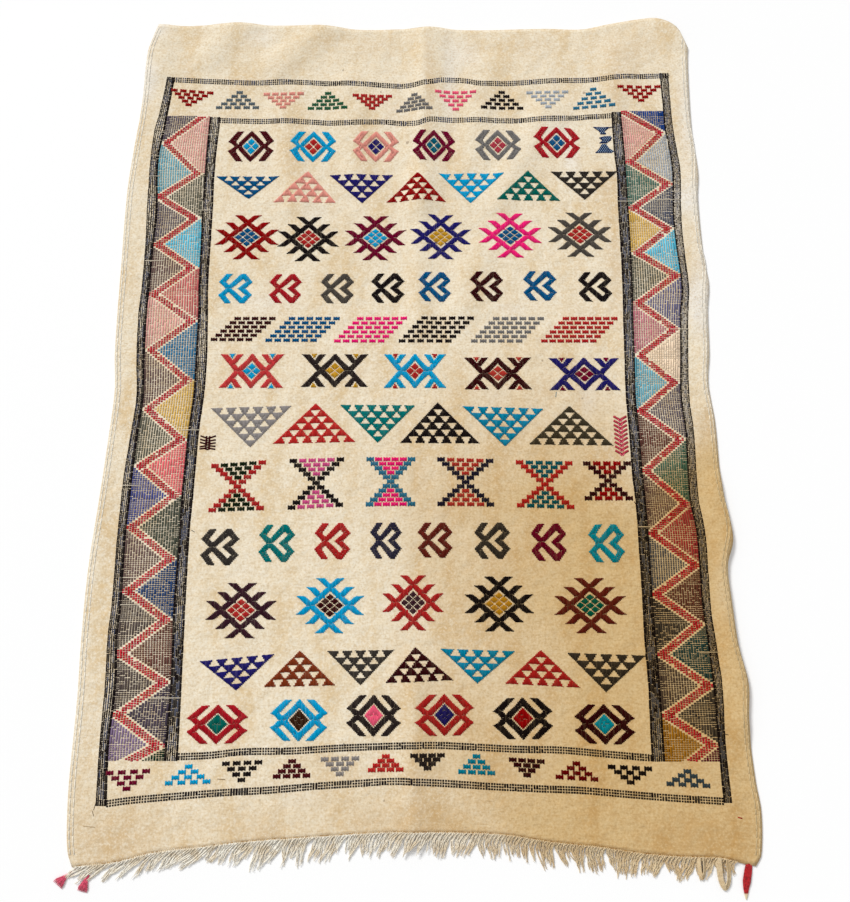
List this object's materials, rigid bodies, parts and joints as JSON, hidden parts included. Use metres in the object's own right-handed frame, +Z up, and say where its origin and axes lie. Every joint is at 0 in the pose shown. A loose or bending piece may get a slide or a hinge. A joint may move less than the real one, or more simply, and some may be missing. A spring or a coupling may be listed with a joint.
{
  "type": "azilal kilim",
  "caption": "Small flat-woven wool rug lying flat, with a warp fringe at one end, a plain other end and short yarn tassels at two corners.",
  "frame": {"origin": "centre of the rug's bounding box, fringe and tassels included, on the surface that it lies on", "axes": "+Z up, +Y along the length towards the plain end, +X across the width"},
  "size_m": [1.2293, 1.7768, 0.0119],
  "materials": {
    "cream_wool": "matte hand-spun wool, plain weave",
    "warp_wool": "matte twisted warp yarn",
    "red_wool": "matte dyed yarn, red",
    "pink_wool": "matte dyed yarn, pink-red"
  },
  "bodies": {
    "root": {"kilim_cloth": "cream_wool", "warp_fringe": "warp_wool", "right_corner_tassel": "red_wool", "left_corner_tassel": "pink_wool", "left_fringe_tassel": "pink_wool"}
  },
  "joints": []
}
